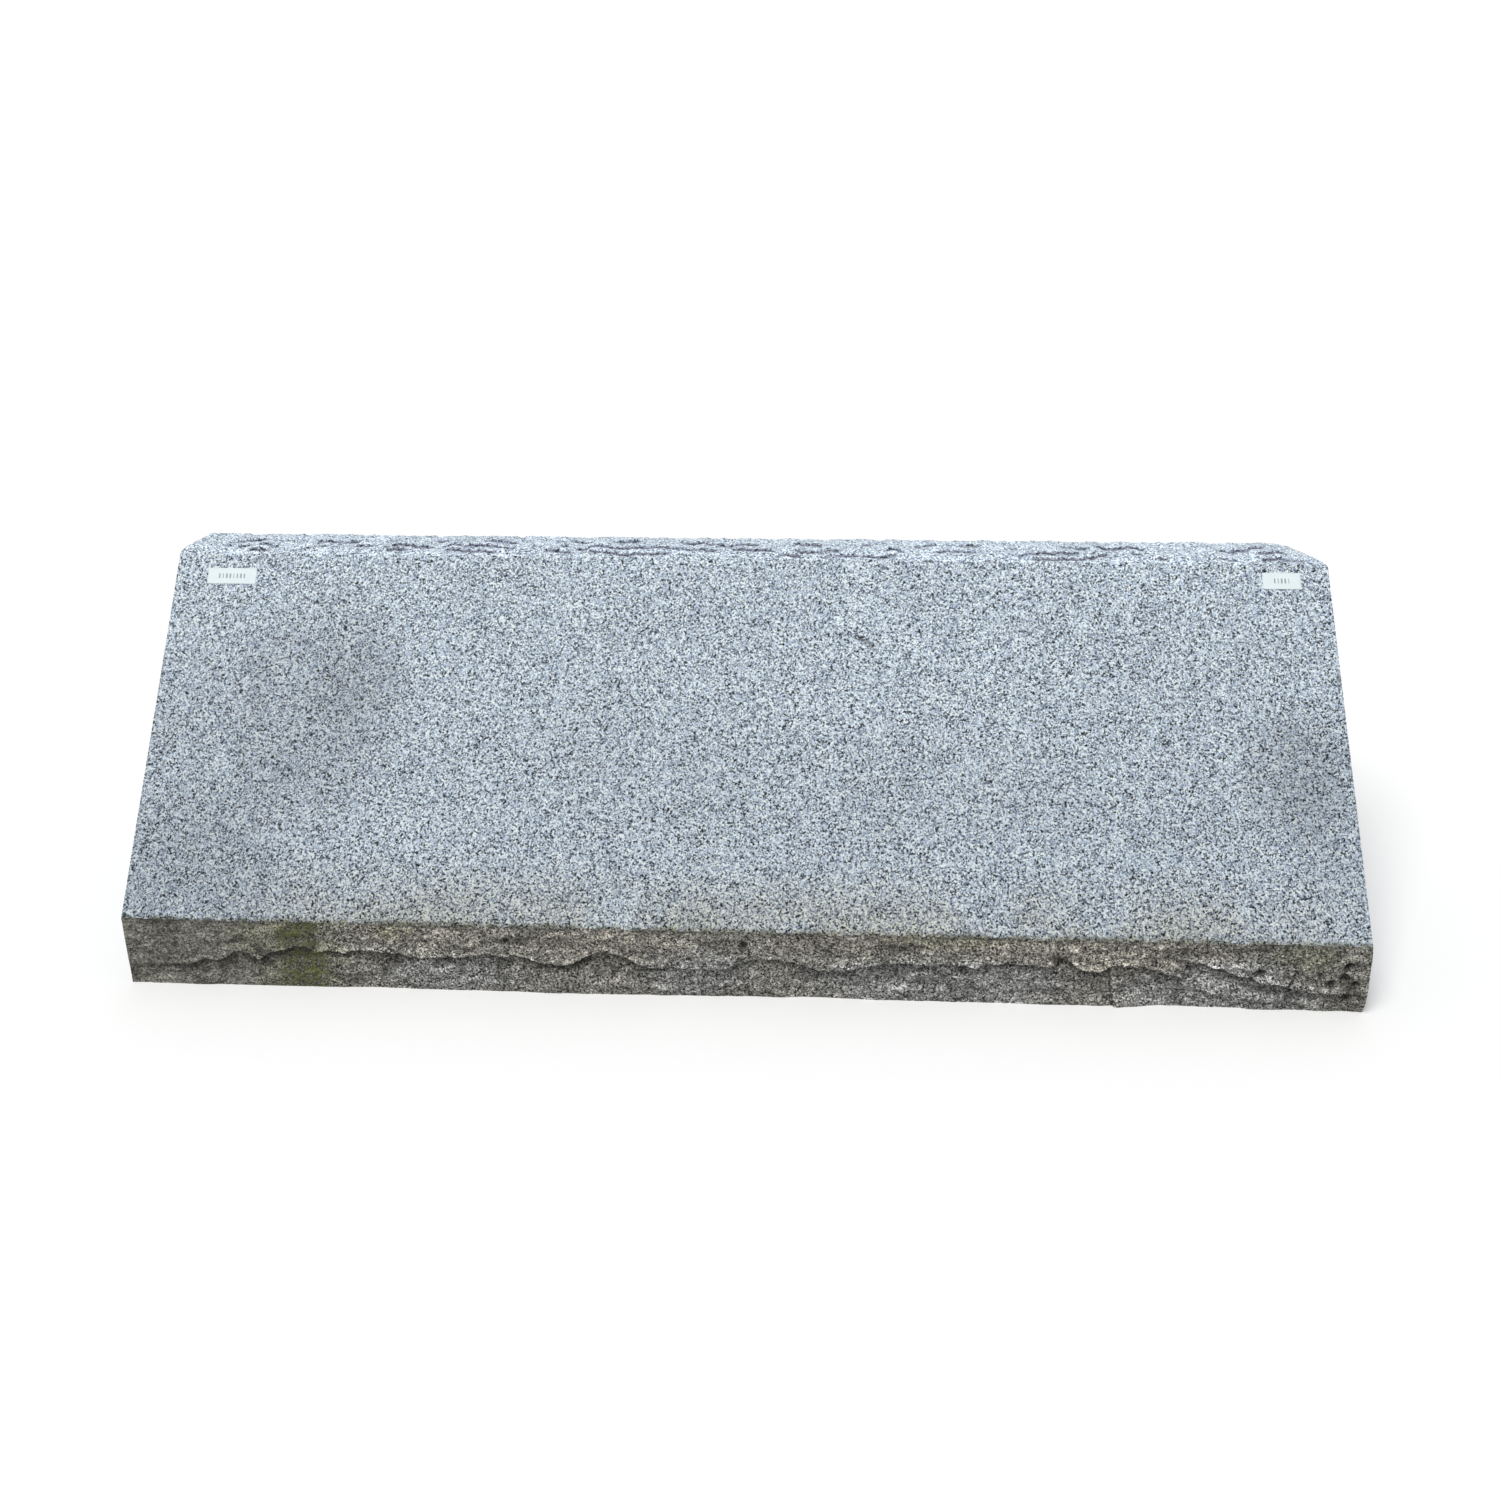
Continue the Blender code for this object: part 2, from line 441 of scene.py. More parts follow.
@dataclass
class Outline:
    """The stone's section at any place along it."""

    length: float
    depth: float
    height: float
    nose_height: float = 0.0755
    top_depth: float = 0.0660
    nose_swell: float = 0.0065
    nose_step: float = 0.0050
    nose_foot: float = 0.0030
    throat: float = 0.0016
    top_crown: float = 0.0010
    top_crest: float = 0.22
    top_fall: float = 0.0065
    corner_reach: float = 0.034
    corner_drop: float = 0.0075
    arris_chip: float = 0.0030
    ledge_mm: tuple[Point, ...] = (
        (-610, 22), (-574, 23), (-550, 25), (-528, 28), (-510, 33), (-500, 40), (-494, 41), (-485, 35),
        (-475, 29), (-467, 38), (-460, 42), (-449, 44), (-438, 48), (-426, 47), (-417, 41), (-402, 43),
        (-386, 40), (-379, 43), (-357, 47), (-335, 44), (-321, 40), (-304, 38), (-283, 42), (-268, 40),
        (-255, 44), (-240, 44), (-229, 39), (-218, 43), (-204, 40), (-190, 36), (-175, 30), (-166, 32),
        (-156, 38), (-146, 45), (-134, 51), (-124, 54), (-113, 49), (-102, 43), (-94, 34), (-82, 30),
        (-70, 31), (-57, 35), (-21, 33), (0, 38), (21, 45), (43, 49), (60, 45), (72, 38), (88, 33),
        (104, 34), (120, 40), (140, 44), (160, 47), (191, 46), (227, 44), (236, 42), (247, 50),
        (289, 47), (311, 48), (322, 55), (333, 47), (353, 42), (373, 50), (394, 48), (408, 45),
        (423, 39), (433, 34), (436, 47), (449, 53), (459, 50), (474, 45), (484, 41), (502, 35),
        (515, 31), (529, 29), (539, 24), (547, 23), (566, 24), (610, 22),
    )
    swell_shares: tuple[Point, ...] = (
        (0.00, 0.20), (0.06, 0.45), (0.13, 0.60), (0.20, 0.95), (0.28, 0.60), (0.36, 0.85), (0.42, 1.0),
        (0.50, 0.50), (0.58, 0.75), (0.70, 0.95), (0.78, 0.70), (0.86, 0.60), (0.94, 0.90), (1.0, 0.95),
    )
    step_mm: tuple[Point, ...] = (
        (-610, 0.05), (-575, 0.10), (-555, 0.75), (-500, 0.90), (-475, 0.80), (-440, 0.9), (-400, 0.9),
        (-330, 1.00), (-170, 1.00), (-90, 1.00), (-70, 0.70), (-45, 0.40), (20, 0.45), (60, 0.75),
        (100, 1.0), (140, 0.80), (185, 0.60), (250, 0.9), (330, 0.9), (400, 0.70), (440, 0.90),
        (520, 1.00), (560, 0.75), (590, 0.25), (610, 0.10),
    )
    pits: Spots = (
        (0.316, 0.052, 0.0050, 0.0040), (0.223, 0.040, 0.0055, 0.0040), (0.508, 0.0425, 0.0055, 0.0045),
        (0.499, 0.0370, 0.0035, 0.0030), (0.587, 0.0410, 0.0055, 0.0045), (0.590, 0.053, 0.0050, 0.0040),
        (0.575, 0.0335, 0.0050, 0.0040), (0.598, 0.0340, 0.0040, 0.0035), (0.592, 0.0175, 0.0042, 0.0035),
        (0.563, 0.0440, 0.0030, 0.0025), (0.010, 0.0600, 0.0040, 0.0025), (-0.225, 0.0585, 0.0032, 0.0030),
    )

    def __post_init__(self) -> None:
        """Works out where the arrises are."""
        self.arris_y = -self.depth / 2 + self.nose_swell
        self.back_y = self.depth / 2
        self.face_foot = Vector((0.0, self.arris_y, self.nose_height))
        self.face_top = Vector((0.0, self.back_y - self.top_depth, self.height - self.top_crown))
        self.up_face = (self.face_top - self.face_foot).normalized()
        self.face_length = (self.face_top - self.face_foot).length
        self.face_normal = Vector((1.0, 0.0, 0.0)).cross(self.up_face)

    def on_face(self, x: float, down: float, proud: float = 0.0) -> Vector:
        """The point on the face that far down from the top arris, and that far off the face."""
        point = self.face_top - self.up_face * down + self.face_normal * proud
        return Vector((x, point.y, point.z))

    def broken(self, x: np.ndarray) -> np.ndarray:
        """How much of the broken right top corner is gone: 0 where it's whole, 1 at the end."""
        return climb(self.length / 2 - x, self.corner_reach, 0) ** 2

    def off_the_ends(self, x: np.ndarray, fade: float = 0.010) -> np.ndarray:
        """0 at the sawn ends, 1 farther from them than the fade."""
        return climb(self.length / 2 - np.abs(x), 0, fade)


@dataclass
class NoseRows:
    """The rock-pitched nose, row by row from its foot up to the arris."""

    outline: Outline
    scoop_rows: int = 24
    swell_rows: int = 26
    row_gather: float = 1.5
    ledge_waves: tuple[Waves, Waves] = (Waves(0.0017, 0.016, 3), Waves(0.0009, 0.006, 4, 2))
    lip_waves: Waves = Waves(0.0008, 0.03, 5)
    foot_waves: Waves = Waves(0.55, 0.16, 6)
    scoop_waves: Waves = Waves(0.0016, 0.09, 9, 2)
    swell_waves: Waves = Waves(0.0013, 0.07, 14, 2)
    arris_waves: Waves = Waves(1.0, 0.006, 8, 3)
    arris_chips: Chips = Chips(7, 0.0012, 70, 0.009)
    arris_wear: float = 0.00022
    arris_loss: float = 0.0030
    undercut: float = 0.0032
    shadows: tuple[Point, ...] = ((0.62, 0.0022), (0.42, 0.0075))
    lit_share: float = 0.16
    sawn_reach: float = 0.02
    pit_edge: float = 1.4
    flake_foot: float = 0.3705
    flake_lean: float = -0.15
    flake_top: Point = (0.050, 0.044)
    flake_proud: float = 0.0036
    flake_reach: float = 0.016
    flake_edge: float = 0.0008
    crack_foot: float = 0.5280
    crack_lean: float = 0.28
    crack_span: Point = (0.022, 0.050)
    crack_width: float = 0.0013
    crack_depth: float = 0.0022
    low_ledge: tuple[Point, ...] = ((0.400, 0.020), (0.452, 0.020), (0.474, 0.012), (0.497, 0.001))
    low_ledge_span: Point = (0.395, 0.500)
    low_ledge_depth: float = 0.0022

    def flake(self, x: np.ndarray, z: np.ndarray) -> tuple[np.ndarray, np.ndarray, np.ndarray]:
        """The vertical flake near the right end.

        Args:
            x, z: the places on the nose.

        Returns:
            How proud it stands, the painted shade beside it, and how fresh the stone is beside it.
        """
        past = x - (self.flake_foot + self.flake_lean * z)
        below = climb(z, *self.flake_top)
        proud = self.flake_proud * below * climb(past, 0, 0.0012) * fading(past, self.flake_reach)
        # Painted shade beside the flake, on the side away from its fresh edge.
        shelter = 0.9 * below * fading(-past, 0.0022) * (past < self.flake_edge)
        fresh = 0.6 * below * (past > self.flake_edge) * climb(past, 0.0055, 0.0045)
        return proud, shelter, fresh

    def crack(self, x: np.ndarray, z: np.ndarray) -> np.ndarray:
        """The leaning crack near the right end.

        Args:
            x, z: the places on the nose.

        Returns:
            How far inside it each place is, 0 to 1.
        """
        low, high = self.crack_span
        within = climb(z, low, low + 0.003) * climb(z, high, high - 0.003)
        off = np.abs(x - (self.crack_foot + self.crack_lean * z))
        return within * np.clip(1.3 - off / self.crack_width, 0, 1)

    def local_relief(self, x: np.ndarray, z: np.ndarray) -> tuple[np.ndarray, np.ndarray, np.ndarray]:
        """The nose's own marks: pits, a vertical flake, a crack and a low second ledge.

        Args:
            x, z: the places on the nose.

        Returns:
            How proud the marks stand there, how much painted shade lies in and under them, and how fresh the
            stone is.
        """
        pitted, shelter = np.zeros_like(x), np.zeros_like(x)
        for across, up, reach, deep in self.outline.pits:
            # Each pit is sunk into the stone and carries painted shade.
            near = np.exp(-((((x - across) ** 2 + (z - up) ** 2) / reach**2) ** self.pit_edge))
            pitted, shelter = pitted - deep * near, np.maximum(shelter, near)
        flaked, beside, fresh = self.flake(x, z)
        cracked = self.crack(x, z)
        # The crack carries painted shade as well.
        shelter = np.maximum(np.maximum(shelter, beside), cracked)
        below = through(x, self.low_ledge) - z
        start, end = self.low_ledge_span
        under = climb(below, 0, 0.0012) * climb(x, start, start + 0.02) * climb(x, end, end - 0.01)
        proud = pitted + flaked - self.crack_depth * cracked - self.low_ledge_depth * under
        # A band of painted shade lies under the low second ledge.
        return proud, np.maximum(shelter, 0.8 * under * fading(below, 0.002)), fresh

    def build(self, x: np.ndarray) -> dict[str, np.ndarray]:
        """The rows at each place along the stone.

        Args:
            x: the places.

        Returns:
            Arrays of rows by places: y, z, how pitched the surface is, its painted shade under the ledge and
                in the marks, and its lip: a painted highlight with paler fresh stone on the ledge's lips, and
                fresh stone beside the flake.
        """
        out = self.outline
        off_ends = out.off_the_ends(x)
        step = through(x * 1000, out.step_mm)
        ledge = through(x * 1000, out.ledge_mm) / 1000 + sum(waves.at(x) for waves in self.ledge_waves)
        lip = through(x / out.length + 0.5, out.swell_shares) * out.nose_swell
        lip = lip + self.lip_waves.at(x) * off_ends
        throat = lip - out.nose_step * step
        foot = out.nose_foot * (1 + self.foot_waves.at(x))
        under_ledge = ledge - out.throat * (0.5 + step)
        arris = self.arris_chips.at(x, out.length / 2) + self.arris_wear * (1 + self.arris_waves.at(x))
        arris = np.clip(arris * (0.25 + 0.75 * off_ends), 0, self.arris_loss)
        y, z, shelter, lit = [], [], [], []
        for share in 1 - (1 - np.linspace(0, 1, self.scoop_rows)) ** self.row_gather:
            below = (1 - share) * under_ledge
            bulge = math.sin(math.pi * share) * self.scoop_waves.at(x, int(3 * share))
            y.append(foot + (throat - foot) * share**1.3 - self.undercut * step * share**3 + bulge)
            z.append(share * under_ledge)
            # Painted shadow under the ledge: a thin dark line, then a softer fade.
            shelter.append(step * sum(dark * np.exp(-below / reach) for dark, reach in self.shadows))
            lit.append(np.zeros_like(x))
        top_of_nose = out.nose_height + arris * out.up_face.z
        for share in np.linspace(0, 1, self.swell_rows):
            bulge = math.sin(math.pi * share) * self.swell_waves.at(x, int(3 * share))
            ease = (1 - share) ** 0.8 * (1 - 0.25 * math.exp(-share / 0.05) * step)
            y.append(lip * ease + bulge - arris * out.up_face.y * share**6)
            z.append(ledge + share * (top_of_nose - ledge))
            # The swell's first row carries the ledge's painted dark line; the rows above carry a painted
            # highlight, partly paler fresh stone, along the lip.
            shelter.append(step * float(share == 0))
            lit.append(step * math.exp(-share / self.lit_share) * float(share > 0))
        y, z = np.array(y), np.array(z)
        near_arris = climb(top_of_nose - z, 0, 0.004)
        marks, dark, fresh = self.local_relief(np.broadcast_to(x, y.shape), z)
        cut_straight = climb(x + out.length / 2, self.sawn_reach, 0) * climb(z, 0, 0.01)
        y = y + (foot * (1 - z / out.nose_height) - y) * cut_straight + marks * near_arris
        pitched = near_arris * (0.25 + 0.75 * climb(z, 0, 0.008)) * (0.10 + 0.90 * off_ends)
        carried = {"shelter": np.maximum(shelter, dark), "lip": np.maximum(lit, fresh)}
        return {"y": out.arris_y - y, "z": z, "pitched": pitched, **carried}


@dataclass
class TopRows:
    """The rock-pitched top, row by row from the face's arris back to the sawn back."""

    outline: Outline
    tread_rows: tuple[int, ...] = (5, 6, 6, 7)
    riser: float = 0.0030
    riser_places: tuple[float, ...] = (0.12, 0.30, 0.58)
    riser_depth: float = 0.010
    riser_gap: float = 0.03
    riser_fade: float = 0.05
    riser_strength: float = 0.45
    sway: Waves = Waves(0.11, 0.075, 25, 2)
    wobble: Waves = Waves(0.05, 0.030, 20, 3)
    breaks: Waves = Waves(1.7, 0.022, 30, 2)
    feather_chips: Chips = Chips(41, 0.0022, 160, 0.010)
    feather_waves: Waves = Waves(1.0, 0.008, 42, 3)
    feather_wear: float = 0.0005
    feather_loss: float = 0.0034

    def risers(self, x: np.ndarray) -> tuple[list[np.ndarray], list[np.ndarray]]:
        """The shallow steps that run along the top.

        Args:
            x: the places along the stone.

        Returns:
            Where the risers run, as shares of the way back, and how high they are.
        """
        places, heights = [], []
        together, nearest = self.sway.at(x), np.zeros_like(x)
        for number, place in enumerate(self.riser_places):
            here = place + together + self.wobble.at(x, number)
            places.append(np.maximum(here, nearest + self.riser_gap))
            nearest = places[-1] + self.riser_depth
            strength = np.clip(self.riser_strength + self.breaks.at(x, number), 0, 1)
            heights.append(self.riser * strength * self.outline.off_the_ends(x, self.riser_fade))
        return places, heights

    def build(self, x: np.ndarray) -> dict[str, np.ndarray]:
        """The rows at each place along the stone.

        Args:
            x: the places.

        Returns:
            The same arrays as those of the nose.
        """
        out = self.outline
        places, heights = self.risers(x)
        gone, off_ends = out.broken(x), out.off_the_ends(x)
        feather = self.feather_chips.at(x, out.length / 2)
        feather = feather + self.feather_wear * (1 + self.feather_waves.at(x))
        feather = feather * (0.3 + 0.7 * off_ends) + out.arris_chip * gone
        feather = np.clip(feather, 0, self.feather_loss)
        arris_y = out.face_top.y - feather * out.up_face.y
        arris_z = out.face_top.z - feather * out.up_face.z
        starts = [np.zeros_like(x)] + [place + self.riser_depth for place in places]
        shares = []
        for start, end, rows in zip(starts, [*places, np.ones_like(x)], self.tread_rows):
            shares += [start + (end - start) * s for s in np.linspace(0, 1, rows)]
        rows = {name: [] for name in ("y", "z", "pitched", "shelter", "lip")}
        for share in shares:
            past = [share > place + self.riser_depth / 2 for place in places]
            crown = out.top_crown * climb(share, 0, out.top_crest)
            fall = out.top_fall * climb(share, out.top_crest, 1)
            rise = crown - fall - sum(heights) * share**1.5
            rise = rise + sum(height * over for height, over in zip(heights, past))
            rows["y"].append(arris_y + share * (out.back_y - arris_y))
            rows["z"].append(arris_z + rise * climb(share, 0, 0.03) - out.corner_drop * gone * share)
            back = 0.25 + 0.75 * climb(share, 1, 0.70)
            rows["pitched"].append(climb(share, 0, 0.06) * back * (0.20 + 0.80 * off_ends))
            # Painted shade on and at the foot of each riser, and a painted highlight on the brink above it.
            foot = [fading(place - share, 0.03) * ~over for place, over in zip(places, past)]
            brink = [fading(share - place, 0.05) * over for place, over in zip(places, past)]
            for name, near in {"shelter": foot, "lip": brink}.items():
                rows[name].append(sum(h / self.riser * n for h, n in zip(heights, near)))
        return {name: np.array(values) for name, values in rows.items()}


@dataclass
class PitchedRelief:
    """The Geometry Nodes tree that breaks up the pitched surfaces along the way they face."""

    lump_height: float = 0.0042
    lump_pitch: float = 0.040
    flake_height: float = 0.0034
    flake_pitch: float = 0.015
    crumb_height: float = 0.0013
    crumb_pitch: float = 0.0042
    seed: float = 3.7
    flake_stretch: tuple[float, float, float] = (0.55, 1.0, 1.35)
    flake_bend: float = 0.016
    bends_per_metre: float = 60.0
    painted_hollow_shade_scale: float = -400.0
    inputs: dict[str, str] = field(default_factory=dict)

    def wanted(self) -> dict[str, float]:
        """The tree's inputs.

        Returns:
            The value of each, by its name.
        """
        return {
            "Lump height": self.lump_height, "Lump pitch": self.lump_pitch,
            "Flake height": self.flake_height, "Flake pitch": self.flake_pitch,
            "Crumb height": self.crumb_height, "Crumb pitch": self.crumb_pitch, "Seed": self.seed,
        }

    def tree(self, finishes: dict[Skin, bpy.types.Material]) -> bpy.types.NodeTree:
        """Builds the tree.

        Args:
            finishes: the material of each surface.

        Returns:
            The tree, ending in Realize Instances and Set Material.
        """
        tree = bpy.data.node_groups.new("pitched_relief", "GeometryNodeTree")
        face = tree.interface
        face.new_socket("Geometry", in_out="INPUT", socket_type="NodeSocketGeometry")
        for name in self.wanted():
            socket = face.new_socket(name, in_out="INPUT", socket_type="NodeSocketFloat")
            self.inputs[name] = socket.identifier
        face.new_socket("Geometry", in_out="OUTPUT", socket_type="NodeSocketGeometry")
        bench = Bench(tree)
        given = {socket.name: Tone(bench, socket) for socket in bench.node("NodeGroupInput").outputs}
        place = bench.tone("GeometryNodeInputPosition")

        def noise(pitch: Tone, detail: float, turn: float) -> Tone:
            """Noise between about -1 and 1 at this pitch."""
            sockets = {"Vector": place, "W": given["Seed"] + turn, "Scale": 1.0 / pitch, "Detail": detail}
            return (bench.tone("ShaderNodeTexNoise", {"noise_dimensions": "4D"}, sockets) - 0.5) * 2.6

        lumps = noise(given["Lump pitch"], 2.0, 0.0) * given["Lump height"]
        crumbs = noise(given["Crumb pitch"], 3.0, 5.0) * given["Crumb height"]
        sockets = {"Vector": place, "Scale": self.bends_per_metre, "Detail": 2.0}
        bent = bench.tone("ShaderNodeTexNoise", {"noise_dimensions": "3D"}, sockets, 1)
        spread = bench.moved(place, bench.dimmed(bent, self.flake_bend))
        flat = bench.stretched(spread, self.flake_stretch)
        sockets = {"Vector": flat, "Scale": 1.0 / given["Flake pitch"]}
        flakes = bench.tone("ShaderNodeTexVoronoi", {"feature": "F1"}, sockets, "Distance")
        facets = (0.45 - flakes) * given["Flake height"]
        settings = {"data_type": "FLOAT_VECTOR"}
        outward = bench.tone("GeometryNodeInputNamedAttribute", settings, {"Name": "outward"})
        sockets = {"Geometry": given["Geometry"], "Offset": bench.dimmed(outward, lumps + facets + crumbs)}
        moved = bench.tone("GeometryNodeSetPosition", None, sockets)
        # How deep each point lies among the facets and crumbs; the finishes paint it as shade in the hollows.
        settings = {"data_type": "FLOAT", "domain": "POINT"}
        sockets = {"Geometry": moved, "Name": "hollow", "Value": (facets + crumbs) * self.painted_hollow_shade_scale}
        stored = bench.tone("GeometryNodeStoreNamedAttribute", settings, sockets)
        shown = bench.tone("GeometryNodeRealizeInstances", None, {0: stored})
        skin = bench.tone("GeometryNodeInputNamedAttribute", {"data_type": "INT"}, {"Name": "skin"})
        for number, finish in sorted(finishes.items()):
            settings = {"data_type": "INT", "operation": "EQUAL"}
            chosen = bench.tone("FunctionNodeCompare", settings, {2: skin, 3: int(number)})
            sockets = {"Geometry": shown, "Selection": chosen, "Material": finish}
            shown = bench.tone("GeometryNodeSetMaterial", None, sockets)
        bench.node("NodeGroupOutput", None, {0: shown})
        return tree

    def work(self, piece: bpy.types.Object, finishes: dict[Skin, bpy.types.Material]) -> None:
        """Runs the tree on the piece and leaves its result as a plain mesh.

        Args:
            piece: the stone, carrying its outward vectors and skin numbers.
            finishes: the material of each surface.
        """
        modifier = piece.modifiers.new("pitched_relief", "NODES")
        modifier.node_group = self.tree(finishes)
        for name, value in self.wanted().items():
            modifier[self.inputs[name]] = value
        depsgraph = bpy.context.evaluated_depsgraph_get()
        made = bpy.data.meshes.new_from_object(piece.evaluated_get(depsgraph), depsgraph=depsgraph)
        plain = piece.data
        piece.modifiers.remove(modifier)
        piece.data = made
        bpy.data.meshes.remove(plain)


@dataclass
class GraniteBlock:
    """The one stone, in place of the CAD node of the same name."""

    outline: Outline
    stations: int = 801
    face_shares: tuple[float, ...] = (0.012, 0.04, 0.10, 0.22, 0.36, 0.50, 0.64, 0.78, 0.90, 0.96, 0.988)
    sawn_rows: int = 2
    top_relief: float = 0.36
    crease: float = math.radians(42)

    def sections(self) -> tuple[np.ndarray, dict[str, np.ndarray], list[Skin]]:
        """The stone's closed sections.

        Returns:
            The points by row and place, what the points carry, and the skin of each strip of faces,
            which starts at the row of the same number.
        """
        out = self.outline
        x = np.linspace(-out.length / 2, out.length / 2, self.stations)
        nose, top = NoseRows(out).build(x), TopRows(out).build(x)
        on_face = [out.face_foot.lerp(out.face_top, share) for share in self.face_shares]
        face_y, face_z = (np.array([point[axis] for point in on_face])[:, None] for axis in (1, 2))
        step = np.arange(1, self.sawn_rows + 1)[:, None] / self.sawn_rows
        base_y = out.back_y + (nose["y"][0] - out.back_y) * step[:-1]
        groups = (
            nose, self._flat_rows(face_y, face_z + 0 * x), top,
            self._flat_rows(out.back_y, top["z"][-1] * (1 - step)), self._flat_rows(base_y, 0.0),
        )
        carried = {name: np.concatenate([group[name] for group in groups]) for name in nose}
        y, z = carried.pop("y"), carried.pop("z")
        points = np.stack([np.broadcast_to(x, y.shape), y, z], axis=-1)
        outward = np.zeros_like(points)
        nose_count, first_top = len(nose["y"]), len(nose["y"]) + len(on_face)
        last_top = first_top + len(top["y"])
        outward[:nose_count, :, 1] = -nose["pitched"]
        outward[first_top:last_top, :, 2] = self.top_relief * top["pitched"]
        skins = [Skin.NOSE] * (nose_count - 1) + [Skin.FACE] * (len(on_face) + 1)
        skins += [Skin.TOP] * (len(top["y"]) - 1) + [Skin.SAWN] * (2 * self.sawn_rows)
        return points, {**carried, "outward": outward}, skins

    @staticmethod
    def _flat_rows(y: np.ndarray | float, z: np.ndarray | float) -> dict[str, np.ndarray]:
        """Rows at these places that carry nothing."""
        y, z = np.broadcast_arrays(y, z)
        return {"y": y, "z": z, **{name: np.zeros(y.shape) for name in ("pitched", "shelter", "lip")}}

    def build(self) -> bpy.types.Object:
        """Joins the sections to one closed mesh.

        Returns:
            The stone, before its relief.
        """
        points, carried, skins = self.sections()
        count, places = points.shape[:2]
        corner = np.arange(count * places).reshape(count, places)
        after = np.roll(corner, -1, axis=0)
        quads = np.stack([corner[:, :-1], corner[:, 1:], after[:, 1:], after[:, :-1]], axis=-1).reshape(-1, 4)
        mesh = bpy.data.meshes.new("granite_stone")
        ends = [corner[:, 0].tolist(), corner[::-1, -1].tolist()]
        mesh.from_pydata(points.reshape(-1, 3).tolist(), [], quads.tolist() + ends)
        skin = np.concatenate([np.repeat([int(s) for s in skins], places - 1), [int(Skin.SAWN)] * 2])
        mesh.attributes.new("skin", "INT", "FACE").data.foreach_set("value", skin.astype(np.int32))
        for name in ("shelter", "lip"):
            values = carried[name].reshape(-1).astype(np.float32)
            mesh.attributes.new(name, "FLOAT", "POINT").data.foreach_set("value", values)
        outward = carried["outward"].reshape(-1).astype(np.float32)
        mesh.attributes.new("outward", "FLOAT_VECTOR", "POINT").data.foreach_set("vector", outward)
        bm = bmesh.new()
        bm.from_mesh(mesh)
        bm.faces.ensure_lookup_table()
        bmesh.ops.triangulate(bm, faces=bm.faces[-2:], ngon_method="EAR_CLIP")
        bmesh.ops.recalc_face_normals(bm, faces=bm.faces)
        bm.to_mesh(mesh)
        bm.free()
        stone = bpy.data.objects.new("granite_stone", mesh)
        bpy.context.scene.collection.objects.link(stone)
        return stone

    def dress(self, stone: bpy.types.Object) -> None:
        """Breaks up the pitched surfaces and gives every surface its finish.

        Args:
            stone: the stone as build leaves it.
        """
        finishes = {
            Skin.FACE: FaceFinish().make(self.outline),
            Skin.NOSE: NoseFinish().make(self.outline),
            Skin.TOP: TopFinish().make(self.outline),
            Skin.SAWN: SawnFinish().make(self.outline),
        }
        PitchedRelief().work(stone, finishes)
        mesh = stone.data
        mesh.polygons.foreach_set("use_smooth", np.ones(len(mesh.polygons), dtype=bool))
        mesh.set_sharp_from_angle(angle=self.crease)
        for name in ("outward", "skin"):
            mesh.attributes.remove(mesh.attributes[name])


# ---------------------------------------------------------------- the finishes


@dataclass(frozen=True)
class Granite:
    """The grain of the stone: feldspar, quartz and black mica."""

    crystal: float = 0.0016
    fleck: float = 0.0009
    white: Colour = linear(242, 252, 255)
    pale: Colour = linear(201, 217, 236)
    grey: Colour = linear(142, 157, 177)
    dusk: Colour = linear(84, 97, 114)
    mica: Colour = linear(20, 24, 30)
    bend: float = 0.9
    fleck_shift: tuple[float, float, float] = (0.31, 0.17, 0.05)

    def start(self, name: str) -> tuple[FinishBench, Tone, Tone, Tone]:
        """Starts a material with its grain.

        Args:
            name: the material's name.

        Returns:
            Its tree, the point being shaded, the crystals' colour and a height for the bump.
        """
        bench = FinishBench(name)
        point = bench.here()
        bent = bench.stirred(point, self.crystal, self.crystal * self.bend)
        big, chosen, sheen = bench.cells(bent, self.crystal)
        small, _, _ = bench.cells(bench.moved(bent, self.fleck_shift), self.fleck)
        stops = (
            (0.00, self.mica), (0.15, self.mica), (0.21, self.dusk), (0.37, self.grey),
            (0.54, self.pale), (0.66, self.pale), (0.76, self.white), (1.00, self.white),
        )
        colour = bench.mix(chosen.past(0.45, 0.60), bench.ramp(big, stops), bench.ramp(small, stops))
        return bench, point, colour, 0.5 * big + 0.3 * small + 0.2 * sheen


